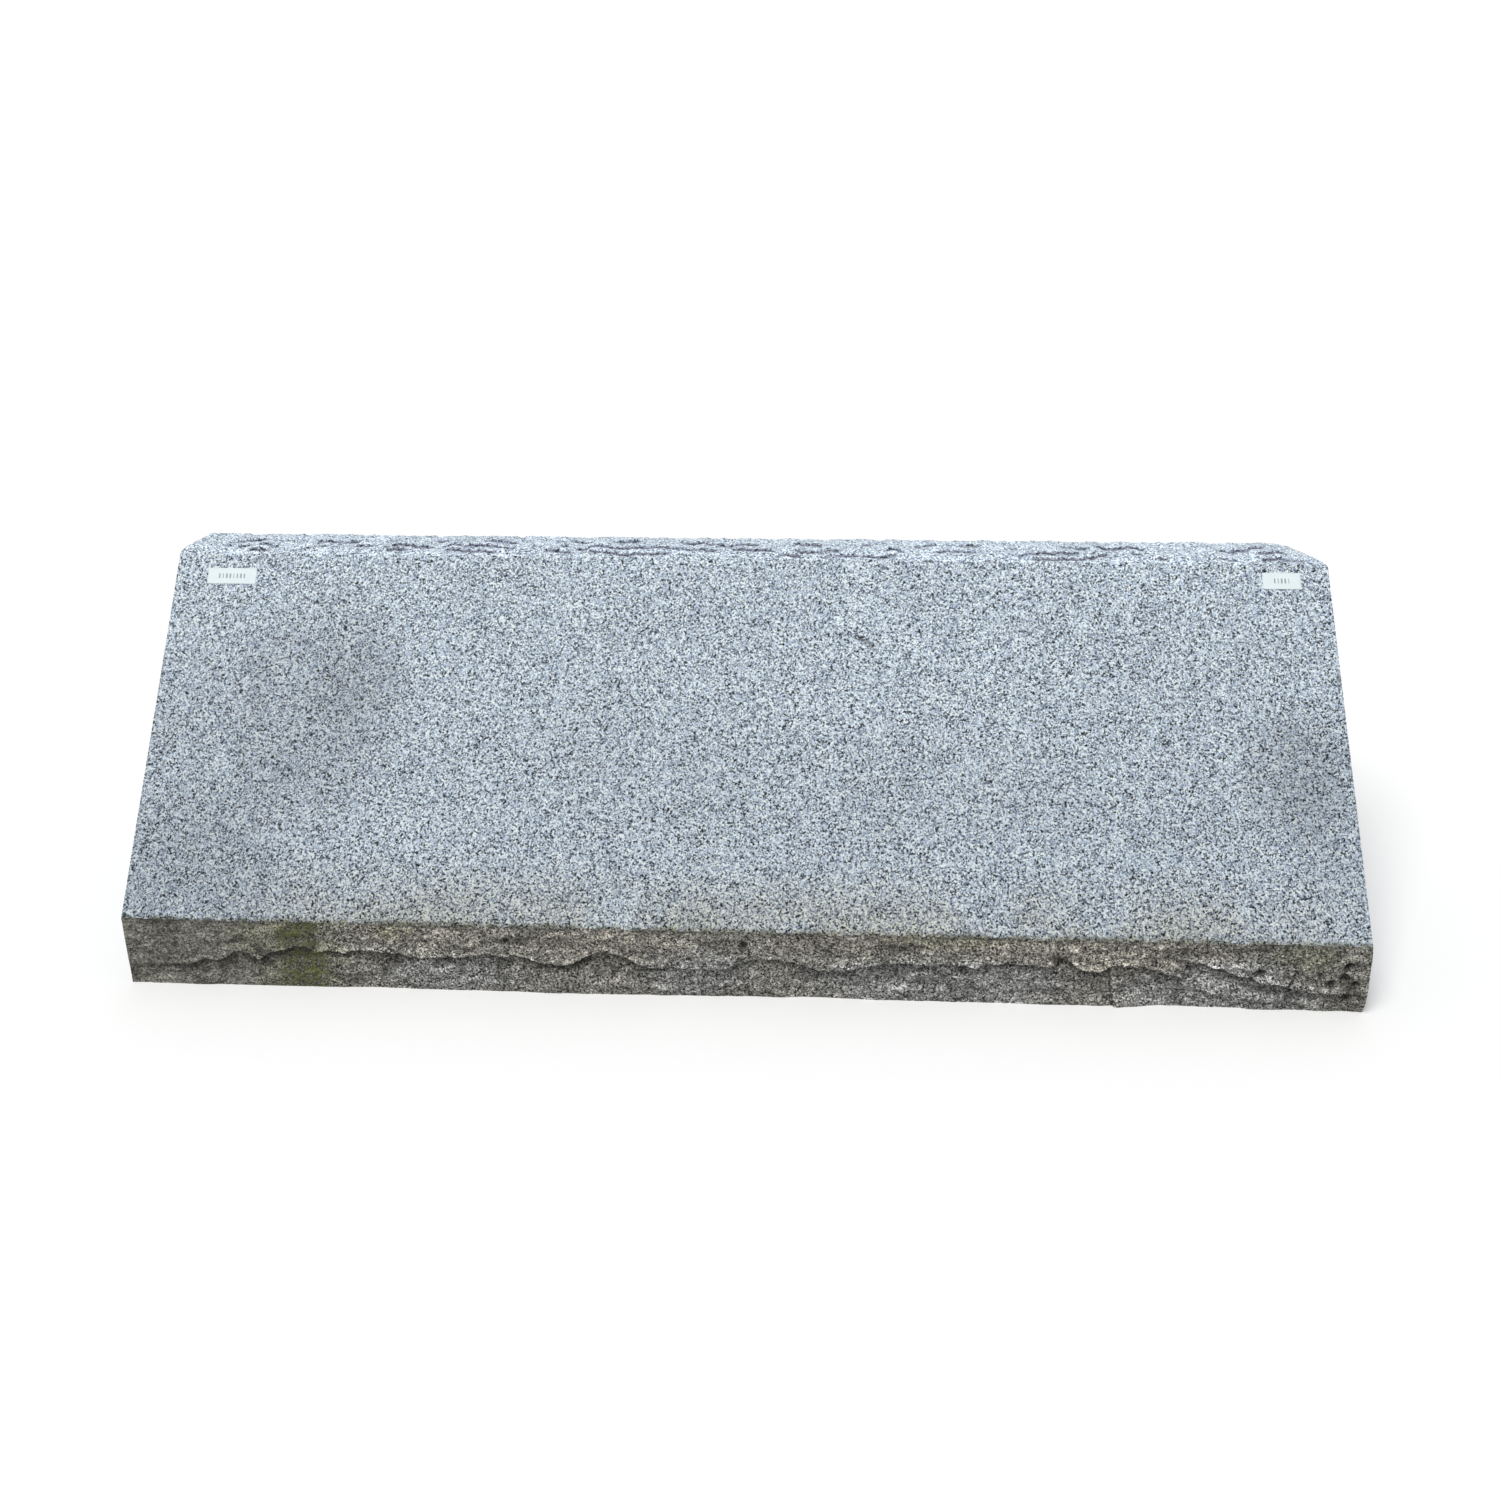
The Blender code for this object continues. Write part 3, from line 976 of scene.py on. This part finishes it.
@dataclass(frozen=True)
class FaceFinish:
    """The flat, fine-finished face: clean grey stone, a little soiled here and there."""

    granite: Granite = Granite()
    rough: float = 0.62
    shade_at_top: float = 0.955
    shade_lost: float = 0.36
    clouding: float = 0.16
    mottling: float = 0.16
    smudge_spread: float = 1.5
    dusty: Colour = linear(232, 219, 194)
    dusty_height: float = 0.075
    dusty_share: float = 0.66
    worn: Colour = linear(158, 154, 128)
    worn_height: float = 0.0060
    worn_share: float = 0.90
    relief: float = 0.00022
    smudges: Spots = (
        (-0.435, 0.154, 0.075, 0.100, 0.21), (-0.400, 0.130, 0.040, 0.040, 0.10),
        (0.552, 0.212, 0.045, 0.055, 0.17), (0.590, 0.245, 0.045, 0.080, 0.10),
        (-0.560, 0.240, 0.080, 0.140, 0.11), (-0.10, 0.20, 0.14, 0.06, 0.05),
        (0.22, 0.235, 0.13, 0.05, 0.05), (-0.55, 0.340, 0.120, 0.070, 0.12),
        (0.50, 0.150, 0.120, 0.120, 0.03),
    )
    marks: Spots = (
        (0.124, 0.083, 0.0040, 0.0035, 0.40), (0.130, 0.0865, 0.0050, 0.0040, 0.55),
        (0.136, 0.090, 0.0045, 0.0040, 0.60), (0.608, 0.118, 0.0035, 0.0045, 0.6),
    )

    def make(self, outline: Outline) -> bpy.types.Material:
        """The face's material.

        Args:
            outline: the stone's section.

        Returns:
            The material.
        """
        bench, point, colour, height = self.granite.start("granite_face")
        x, y, z = bench.apart(point)
        top, up, foot = outline.face_top, outline.up_face, outline.face_length
        down = (top.y - y) * up.y + (top.z - z) * up.z
        cloud = bench.noise(point, 0.12, 3.0) - 0.5
        mottle = bench.noise(point, 0.018, 2.0) - 0.5
        shade = self.shade_at_top - down * self.shade_lost + cloud * self.clouding + mottle * self.mottling
        ragged = 0.4 + 1.2 * bench.noise(bench.moved(point, (0.0, 5.0, 0.0)), 0.045, 4.0, 0.6)
        for across, drop, wide, high, strength in self.smudges:
            reach = (wide * self.smudge_spread, high * self.smudge_spread)
            shade = shade * (1 - bench.spot(x, down, (across, drop), reach) * ragged * strength)
        for across, drop, wide, high, strength in self.marks:
            shade = shade * (1 - bench.spot(x, down, (across, drop), (wide, high), 0.8) * strength)
        colour = bench.dimmed(colour, shade)
        low = down.past(foot - self.dusty_height, foot + 0.005)
        low = low * bench.noise(bench.moved(point, (3.0, 0.0, 0.0)), 0.09, 3.0).past(0.28, 0.56)
        low = low * bench.spot(x, down, (0.05, foot), (0.60, 0.5), 0.6)
        colour = bench.mix(low * self.dusty_share, colour, self.dusty, "MULTIPLY")
        edge = down.past(foot - self.worn_height, foot - 0.0004)
        edge = edge * bench.noise(bench.moved(point, (7.0, 0.0, 0.0)), 0.012, 3.0).past(0.34, 0.58)
        colour = bench.mix(edge * self.worn_share, colour, self.worn, "MULTIPLY")
        rough = self.rough + 0.2 * mottle + 0.1 * low
        normal = bench.bump(height + 0.7 * bench.noise(point, 0.0011, 1.0), self.relief)
        return bench.finish(colour, rough, normal)


@dataclass(frozen=True)
class NoseFinish:
    """The rock-pitched nose, weathered and soiled, with painted shade in its hollows, under its ledges and
    along its arris, and a patch of moss.
    """

    granite: Granite = Granite(
        white=linear(252, 251, 248), pale=linear(180, 179, 176), grey=linear(134, 133, 130),
        dusk=linear(97, 96, 93), mica=linear(50, 49, 47), crystal=0.0015,
    )
    rough: float = 0.88
    soiled: Colour = linear(220, 218, 209)
    bare: Colour = linear(248, 249, 252)
    tan: Colour = linear(247, 240, 229)
    moss: Colour = linear(122, 127, 70)
    moss_deep: Colour = linear(54, 60, 32)
    tinge: Colour = linear(222, 230, 178)
    film: Colour = linear(146, 146, 138)
    shade: float = 0.90
    clouding: float = 1.10
    streaking: float = 1.80
    crusting: float = 1.0
    painted_shade_dark: float = 0.90
    painted_hollow_shade_dark: float = 0.55
    arris_painted_shade: float = 0.35
    arris_band: Point = (0.0038, 0.0012)
    film_share: float = 0.35
    tinge_share: float = 0.36
    moss_share: float = 0.84
    spot_spread: float = 1.35
    relief: float = 0.0026
    moss_spots: Spots = (
        (-0.431, 0.014, 0.025, 0.036), (-0.428, 0.052, 0.015, 0.034), (-0.438, 0.058, 0.018, 0.014),
    )
    tinge_spots: Spots = (
        (-0.338, 0.070, 0.022, 0.010), (0.548, 0.064, 0.030, 0.014), (-0.470, 0.055, 0.030, 0.020),
        (0.20, 0.072, 0.050, 0.008), (-0.436, 0.040, 0.045, 0.060),
    )
    tan_spots: Spots = (
        (-0.118, 0.062, 0.085, 0.022), (0.365, 0.066, 0.110, 0.022), (-0.30, 0.066, 0.07, 0.014),
        (0.12, 0.068, 0.08, 0.012), (0.26, 0.068, 0.05, 0.012),
    )
    bare_spots: Spots = (
        (0.20, 0.022, 0.13, 0.030), (0.47, 0.018, 0.10, 0.026), (-0.28, 0.018, 0.07, 0.020),
        (0.49, 0.045, 0.05, 0.016), (-0.04, 0.030, 0.05, 0.03),
    )

    def make(self, outline: Outline) -> bpy.types.Material:
        """The nose's material.

        Args:
            outline: the stone's section.

        Returns:
            The material.
        """
        bench, point, colour, height = self.granite.start("granite_nose")
        x, _, z = bench.apart(point)
        cloud = bench.noise(point, 0.050, 4.0, 0.6) - 0.5
        layers = bench.stretched(bench.stirred(point, 0.040, 0.045), (0.30, 1.0, 1.7))
        streaks = bench.noise(layers, 0.011, 4.0, 0.6)
        crust = bench.noise(point, 0.006, 3.0, 0.6)

        def area(spots: Spots) -> Tone:
            """Where any of some spots is, with a ragged edge.

            Args:
                spots: the middle, half width and half height of each.

            Returns:
                1 in the spots and 0 outside them.
            """
            total = None
            for across, up, wide, high in spots:
                reach = (wide * self.spot_spread, high * self.spot_spread)
                one = bench.spot(x, z, (across, up), reach, 0.9)
                total = one if total is None else total.at_least(one)
            ragged = (streaks - 0.5) * 1.3 + cloud
            return (total + ragged * total.past(0.0, 0.4)).clamped()

        low_down, far_left = z.past(0.045, 0.020), x.past(-0.40, -0.52)
        colour = bench.mix(far_left * self.film_share, colour, self.film)
        tint = bench.mix(area(self.bare_spots) * 0.8, self.soiled, self.bare)
        tint = bench.mix(area(self.tan_spots) * crust.past(0.25, 0.6) * 0.7, tint, self.tan)
        colour = bench.mix(1.0, colour, tint, "MULTIPLY")
        shelter, lip, hollow = (bench.carried(name) for name in ("shelter", "lip", "hollow"))
        shade = self.shade + cloud * self.clouding + (streaks - 0.5) * self.streaking
        shade = shade + (crust - 0.5) * self.crusting
        # The lips carry a painted highlight, partly paler fresh stone.
        shade = shade + lip * (0.25 + 1.1 * crust.past(0.35, 0.60))
        shade = shade + low_down * 0.05 - far_left * (0.04 + 0.14 * low_down)
        # Painted shade under the ledges, in the pits and crack, and beside the flake.
        shade = shade * (1 - shelter.clamped() * self.painted_shade_dark)
        # Painted shade in the relief's hollows.
        shade = shade * (1 - hollow.clamped() * self.painted_hollow_shade_dark)
        # A painted shadow line just under the arris, broken up by the streaks.
        start, end = (outline.nose_height - below for below in self.arris_band)
        shade = shade * (1 - z.past(start, end) * streaks.past(0.30, 0.55) * self.arris_painted_shade)
        colour = bench.dimmed(colour, shade.at_least(0.05))
        tinge = area(self.tinge_spots) * crust.past(0.30, 0.55) * self.tinge_share
        colour = bench.mix(tinge, colour, self.tinge, "MULTIPLY")
        moss = area(self.moss_spots)
        moss_colour = bench.mix(crust.past(0.35, 0.65), self.moss_deep, self.moss)
        moss_colour = bench.dimmed(moss_colour, 0.75 + 0.5 * (streaks - 0.5) + 0.4 * cloud)
        colour = bench.mix(moss * self.moss_share * crust.past(0.25, 0.60), colour, moss_colour)
        relief = height * 0.5 + crust * 1.2 + streaks * 1.6 + 0.5 * bench.noise(point, 0.0018, 2.0)
        return bench.finish(colour, (self.rough + 0.1 * moss).clamped(), bench.bump(relief, self.relief))


@dataclass(frozen=True)
class TopFinish:
    """The rock-pitched top: clean, pale and rough, with painted shade on its risers and a painted highlight
    on the brinks above them.
    """

    granite: Granite = Granite()
    rough: float = 0.80
    # The mauve-grey tint of the risers' painted shade.
    riser: Colour = linear(176, 166, 176)
    shade: float = 1.30
    clouding: float = 0.24
    lip_light: float = 0.12
    painted_shade_dark: float = 0.56
    painted_hollow_shade_dark: float = 0.15
    relief: float = 0.0005

    def make(self, outline: Outline) -> bpy.types.Material:
        """The top's material.

        Args:
            outline: the stone's section; not used.

        Returns:
            The material.
        """
        bench, point, colour, height = self.granite.start("granite_top")
        cloud = bench.noise(point, 0.05, 3.0) - 0.5
        shelter, lip, hollow = (bench.carried(name) for name in ("shelter", "lip", "hollow"))
        broken_up = bench.noise(point, 0.009, 3.0).past(0.35, 0.60)
        # The brinks above the risers carry a painted highlight.
        shade = self.shade + cloud * self.clouding + lip * self.lip_light
        # Painted shade on the risers and at their feet, broken up.
        shade = shade * (1 - shelter.clamped() * broken_up * self.painted_shade_dark)
        # Painted shade in the relief's hollows.
        colour = bench.dimmed(colour, shade * (1 - hollow.clamped() * self.painted_hollow_shade_dark))
        # The risers' painted shade also takes the riser tint.
        colour = bench.mix(shelter.clamped(), colour, self.riser, "MULTIPLY")
        normal = bench.bump(height + bench.noise(point, 0.0014, 2.0), self.relief)
        return bench.finish(colour, self.rough + 0.1 * cloud, normal)


@dataclass(frozen=True)
class SawnFinish:
    """The sawn ends, back and base, with the saw's faint arcs and a soil line low down."""

    granite: Granite = Granite()
    rough: float = 0.72
    shade: float = 0.90
    clouding: float = 0.26
    saw_pitch: float = 0.0065
    saw_lean: Point = (0.25, 0.12)
    saw_mark: float = 0.015
    soil_line: float = 0.045
    soil_share: float = 0.8
    soil: Colour = linear(150, 142, 126)
    streak_dark: float = 0.14
    relief: float = 0.00025

    def make(self, outline: Outline) -> bpy.types.Material:
        """The sawn surfaces' material.

        Args:
            outline: the stone's section; not used.

        Returns:
            The material.
        """
        bench, point, colour, height = self.granite.start("granite_sawn")
        x, y, z = bench.apart(point)
        cloud = bench.noise(point, 0.10, 3.0) - 0.5
        waver = bench.noise(point, 0.20, 1.0) * 0.02
        swing = y * self.saw_lean[0] + x * self.saw_lean[1] + z + waver
        arcs = (swing * (2 * math.pi / self.saw_pitch)).sine()
        colour = bench.dimmed(colour, self.shade + cloud * self.clouding + arcs * self.saw_mark)
        ragged = z + (bench.noise(point, 0.04, 4.0) - 0.5) * 0.05
        soil = ragged.past(self.soil_line, 0.004)
        colour = bench.mix(soil * self.soil_share, colour, self.soil, "MULTIPLY")
        streak = bench.noise(bench.stretched(point, (1.0, 1.0, 0.12)), 0.02, 3.0).past(0.55, 0.75)
        colour = bench.dimmed(colour, 1 - streak * self.streak_dark)
        relief = height * 0.5 + arcs * 0.5 + 0.5 * bench.noise(point, 0.0012, 1.0)
        return bench.finish(colour, self.rough + 0.1 * soil, bench.bump(relief, self.relief))


@dataclass(frozen=True)
class PaperFinish:
    """A printed paper label: a row of plain grey strokes on near-white paper."""

    name: str
    strokes: int
    band: float
    paper: Colour = linear(231, 243, 245)
    ink: Colour = linear(56, 64, 70)
    grubby: Colour = linear(176, 186, 190)
    rough: float = 0.55
    thin_stroke: float = 0.10
    stroke_range: float = 0.16
    stroke_ends: Point = (0.160, 0.130)
    ink_share: float = 0.8
    relief: float = 0.00006

    def make(self, width: float, height: float) -> bpy.types.Material:
        """The label's material.

        Args:
            width, height: the label's size, which its UV map is in.

        Returns:
            The material.
        """
        bench = FinishBench(self.name)
        flat = bench.tone("ShaderNodeUVMap", {"uv_map": "label"})
        u, v, _ = bench.apart(flat)
        across, high = abs(u), abs(v)
        fibre = bench.noise(bench.stretched(flat, (1.0, 1.6, 1.0)), 0.0012, 3.0)
        blotch = bench.noise(flat, 0.012, 3.0)
        paper = bench.dimmed(self.paper, 1 - (blotch - 0.5) * 0.10 - (fibre - 0.5) * 0.05)
        place = (u / (self.band * width) + 0.5) * self.strokes
        number = place.floored()
        vary = bench.tone("ShaderNodeTexWhiteNoise", {"noise_dimensions": "1D"}, {"W": number})
        half = self.thin_stroke + vary * self.stroke_range
        bar = (abs(place - number - 0.5) - half).past(0.05, -0.05)
        inside = high.past(*(height * share for share in self.stroke_ends))
        inside = inside * across.past(self.band * width / 2 + 0.0002, self.band * width / 2)
        ink = bar * inside * (0.75 + 0.4 * (fibre - 0.5))
        colour = bench.mix(ink * self.ink_share, paper, self.ink)
        edge = across.past(width / 2 - 0.0012, width / 2).at_least(high.past(height / 2 - 0.0010, height / 2))
        colour = bench.mix(edge * 0.35 * blotch.past(0.35, 0.6), colour, self.grubby)
        return bench.finish(colour, self.rough + 0.2 * (fibre - 0.5), bench.bump(fibre + blotch, self.relief))


# ---------------------------------------------------------------- the labels


@dataclass
class PaperLabel:
    """A small paper label lying on the face, in place of its CAD node."""

    outline: Outline
    node: str
    piece: str
    finish: PaperFinish
    thickness: float = 0.00032
    gap: float = 0.00012
    lift: float = 0.0005
    mesh_pitch: float = 0.001
    cad_thickness: float = 0.0005
    crease: float = math.radians(50)
    lifted_from: float = 0.72
    ripple: float = 0.00004
    clearance: float = 0.00006

    def build(self) -> bpy.types.Object:
        """Makes the paper where the CAD says it lies.

        Returns:
            The label, its place in its mesh.
        """
        low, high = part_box(self.node)
        out = self.outline
        middle = (low + high) / 2
        width = high.x - low.x
        tall = (high.z - low.z - out.face_normal.z * self.cad_thickness) / out.up_face.z
        centre = Vector((0, middle.y, middle.z))
        drop = (out.face_top - centre).dot(out.up_face)
        mesh = self._sheet(width, tall)
        turn = Matrix((Vector((1, 0, 0)), out.up_face, out.face_normal)).transposed().to_4x4()
        place = Matrix.Translation(out.on_face(middle.x, drop, self.gap)) @ turn
        mesh.transform(place)
        mesh.materials.append(self.finish.make(width, tall))
        mesh.polygons.foreach_set("use_smooth", np.ones(len(mesh.polygons), dtype=bool))
        mesh.set_sharp_from_angle(angle=self.crease)
        label = bpy.data.objects.new(self.piece, mesh)
        bpy.context.scene.collection.objects.link(label)
        return label

    def _sheet(self, width: float, tall: float) -> bpy.types.Mesh:
        """The paper's two sides and its rim, lying flat around the origin.

        Args:
            width, tall: the paper's size.

        Returns:
            The closed mesh, with the label's UV map in metres.
        """
        columns, rows = round(width / self.mesh_pitch), round(tall / self.mesh_pitch)
        flat = [
            Vector(((column / columns - 0.5) * width, (row / rows - 0.5) * tall, level))
            for level in (0.0, self.thickness) for row in range(rows + 1) for column in range(columns + 1)
        ]
        corner = np.arange(len(flat)).reshape(2, rows + 1, columns + 1)
        sides = (corner[:, :-1, :-1], corner[:, :-1, 1:], corner[:, 1:, 1:], corner[:, 1:, :-1])
        quads = np.stack(sides, axis=-1).reshape(-1, 4).tolist()
        sheet = corner[0]
        rim = [*sheet[0, :-1], *sheet[:-1, -1], *sheet[-1, :0:-1], *sheet[:0:-1, 0]]
        quads += [(a, b, b + sheet.size, a + sheet.size) for a, b in zip(rim, rim[1:] + rim[:1])]
        mesh = bpy.data.meshes.new(self.piece)
        mesh.from_pydata([self._shaped(point, width, tall) for point in flat], [], quads)
        layer = mesh.uv_layers.new(name="label")
        for loop in mesh.loops:
            layer.uv[loop.index].vector = flat[loop.vertex_index].xy
        bm = bmesh.new()
        bm.from_mesh(mesh)
        bmesh.ops.recalc_face_normals(bm, faces=bm.faces)
        bm.to_mesh(mesh)
        bm.free()
        return mesh

    def _shaped(self, flat: Vector, width: float, tall: float) -> Vector:
        """Rounds the paper's corners a little, lets one corner lift and ripples the paper a little.

        Args:
            flat: a point of the flat paper.
            width, tall: the paper's size.

        Returns:
            Where the point really is.
        """
        point = flat.copy()
        across, up = abs(point.x) * 2 / width, abs(point.y) * 2 / tall
        pull = max(0.0, across - 1 + 0.04) * max(0.0, up - 1 + 0.10)
        point.x *= 1 - 4.0 * pull
        point.y *= 1 - 6.0 * pull
        lifted = max(0.0, point.x / width + point.y / tall - self.lifted_from) / (1 - self.lifted_from)
        ripple = self.ripple * (math.sin(point.x * 310) + math.sin(point.y * 520 + 1.3))
        point.z += self.lift * lifted**2 + ripple + self.clearance
        return point


# ---------------------------------------------------------------- the studio


@dataclass
class Studio:
    """The pale floor, the soft light and the camera."""

    floor_reach: float = 80.0
    floor_rough: float = 0.9
    floor_colour: Colour = (0.95, 0.95, 0.95)
    floor_bounce: float = 0.40
    sky: Colour = (0.96, 0.98, 1.0)
    sky_strength: float = 0.54
    white: Colour = (1.0, 1.0, 1.0)
    sun_strength: float = 2.05
    sun_softness: float = math.radians(28)
    sun_colour: Colour = (1.0, 0.985, 0.965)
    sun_from: tuple[float, float, float] = (-0.30, -0.30, 0.90)
    camera_at: tuple[float, float, float] = (0.0790, -1.0157, 0.8728)
    pitch: float = math.radians(-18.32)
    yaw: float = math.radians(-2.38)
    roll: float = math.radians(-0.407)
    lens: float = 26.934
    shift: Point = (-0.0156, -0.2068)
    sensor: float = 36.0
    clip: Point = (0.05, 200.0)

    def floor(self) -> bpy.types.Object:
        """A wide plain floor under the stone.

        Returns:
            The floor.
        """
        bm = bmesh.new()
        bmesh.ops.create_circle(bm, cap_ends=True, radius=self.floor_reach, segments=64)
        mesh = bpy.data.meshes.new("floor")
        bm.to_mesh(mesh)
        bm.free()
        bench = FinishBench("floor")
        grey = bench.noise(bench.here(), 0.6, 2.0)
        colour = bench.mix(grey, self.floor_colour, tuple(0.98 * c for c in self.floor_colour))
        path = bench.tone("ShaderNodeLightPath", output="Is Camera Ray")
        colour = bench.dimmed(colour, self.floor_bounce + (1 - self.floor_bounce) * path)
        mesh.materials.append(bench.finish(colour, self.floor_rough))
        floor = bpy.data.objects.new("floor", mesh)
        bpy.context.scene.collection.objects.link(floor)
        return floor

    def light(self) -> None:
        """A white sky and one very soft high lamp."""
        world = bpy.data.worlds.new("studio")
        world.use_nodes = True
        tree = world.node_tree
        tree.nodes.clear()
        out = tree.nodes.new("ShaderNodeOutputWorld")
        lit, seen = (tree.nodes.new("ShaderNodeBackground") for _ in range(2))
        for background, colour, strength in ((lit, self.sky, self.sky_strength), (seen, self.white, 1.0)):
            background.inputs["Color"].default_value = (*colour, 1.0)
            background.inputs["Strength"].default_value = strength
        path = tree.nodes.new("ShaderNodeLightPath")
        both = tree.nodes.new("ShaderNodeMixShader")
        tree.links.new(path.outputs["Is Camera Ray"], both.inputs[0])
        tree.links.new(lit.outputs[0], both.inputs[1])
        tree.links.new(seen.outputs[0], both.inputs[2])
        tree.links.new(both.outputs[0], out.inputs["Surface"])
        bpy.context.scene.world = world
        lamp = bpy.data.lights.new("soft_lamp", "SUN")
        lamp.energy = self.sun_strength
        lamp.angle = self.sun_softness
        lamp.color = self.sun_colour
        sun = bpy.data.objects.new("soft_lamp", lamp)
        sun.rotation_euler = Vector(self.sun_from).to_track_quat("Z", "Y").to_euler()
        bpy.context.scene.collection.objects.link(sun)

    def camera(self) -> None:
        """The camera, looking slightly down on the stone's face."""
        scene = bpy.context.scene
        data = bpy.data.cameras.new("camera")
        data.sensor_width = self.sensor
        data.lens = self.lens
        data.shift_x, data.shift_y = self.shift
        data.clip_start, data.clip_end = self.clip
        camera = bpy.data.objects.new("camera", data)
        turns = ((-self.yaw, "Z"), (math.pi / 2 + self.pitch, "X"), (self.roll, "Z"))
        camera.matrix_world = Matrix.Translation(self.camera_at)
        for angle, axis in turns:
            camera.matrix_world = camera.matrix_world @ Matrix.Rotation(angle, 4, axis)
        scene.collection.objects.link(camera)
        scene.camera = camera
        scene.view_settings.view_transform = "Standard"


def report(piece: bpy.types.Object) -> None:
    """Logs a piece's name and how many triangles it has."""
    piece.data.calc_loop_triangles()
    log.info("%s: %d triangles", piece.name, len(piece.data.loop_triangles))


def main() -> None:
    """Builds every piece around the frame, then the studio."""
    logging.basicConfig(level=logging.INFO, format="%(name)s: %(message)s")
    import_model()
    low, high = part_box("granite_slab")
    outline = Outline(length=high.x - low.x, depth=high.y - low.y, height=high.z - low.z)
    studio = Studio()
    studio.camera()
    block = GraniteBlock(outline)
    stone = block.build()
    block.dress(stone)
    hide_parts("granite_slab")
    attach(stone, "root")
    report(stone)
    labels = (
        PaperLabel(outline, "size_label", "size_label_paper", PaperFinish("label_size", 8, 0.58)),
        PaperLabel(outline, "stock_label", "stock_label_paper", PaperFinish("label_stock", 5, 0.46)),
    )
    for label in labels:
        paper = label.build()
        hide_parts(label.node)
        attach(paper, "root")
        report(paper)
    studio.floor()
    studio.light()


if __name__ == "__main__":
    main()
